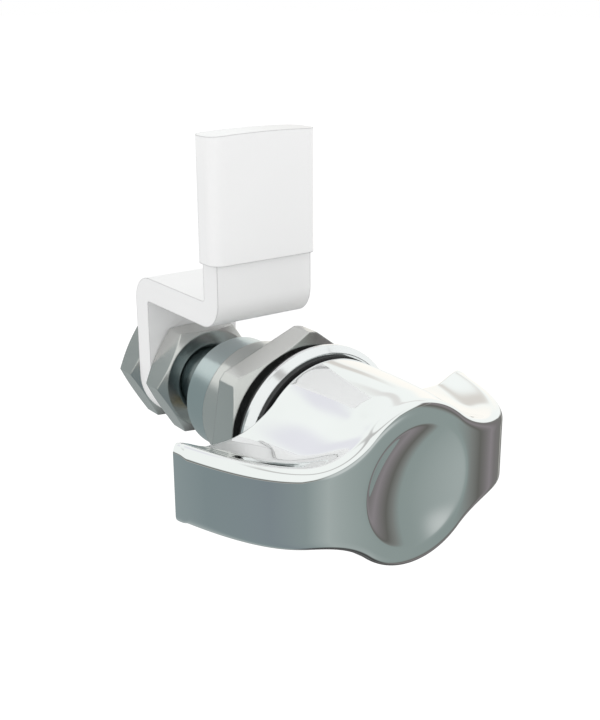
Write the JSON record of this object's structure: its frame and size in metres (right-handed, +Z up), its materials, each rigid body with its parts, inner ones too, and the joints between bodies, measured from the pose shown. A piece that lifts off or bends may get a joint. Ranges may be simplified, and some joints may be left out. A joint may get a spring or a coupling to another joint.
{
  "type": "quarter-turn cam latch",
  "caption": "Panel latch with a chromed wing knob, a flanged barrel with hex nut and gasket, and a cranked cam clamped between nuts on a turning spindle.",
  "frame": {"origin": "centre of the panel seat, which is the gasket's rear face, on the turning axis", "axes": "+Y along the turning axis to the rear, from the knob to the cam; +Z up along the cam's tongue at rest; +X to the right seen from the knob"},
  "size_m": [0.0484, 0.0651, 0.0534],
  "materials": {
    "knob_chrome": "polished chrome plate",
    "housing_zinc": "bright zinc casting, nickel plated",
    "zinc_steel": "zinc plated, turned",
    "nut_steel": "satin plated",
    "pin_steel": "hardened, plain",
    "seal_rubber": "matt black",
    "slip_plastic": "matt black",
    "cam_plastic": "pale milky moulding",
    "cap_plastic": "pale milky moulding",
    "washer_brass": "plain stamped"
  },
  "bodies": {
    "fixed_body": {"housing": "housing_zinc", "slip_ring": "slip_plastic", "flange_gasket": "seal_rubber", "mounting_nut": "nut_steel", "thrust_washer": "washer_brass"},
    "turning_body": {"wing_knob": "knob_chrome", "spindle": "zinc_steel", "cross_pin": "pin_steel", "stop_pin": "pin_steel", "spindle_o_ring": "seal_rubber", "retaining_ring": "pin_steel", "cam": "cam_plastic", "front_cam_nut": "nut_steel", "rear_cam_nut": "nut_steel", "cam_cap": "cap_plastic"}
  },
  "joints": [
    {"name": "quarter_turn", "type": "hinge", "parent": "fixed_body", "child": "turning_body", "pos_m": [0, 0, 0], "axis": [0, -1, 0], "range_deg": [0, 90]}
  ]
}
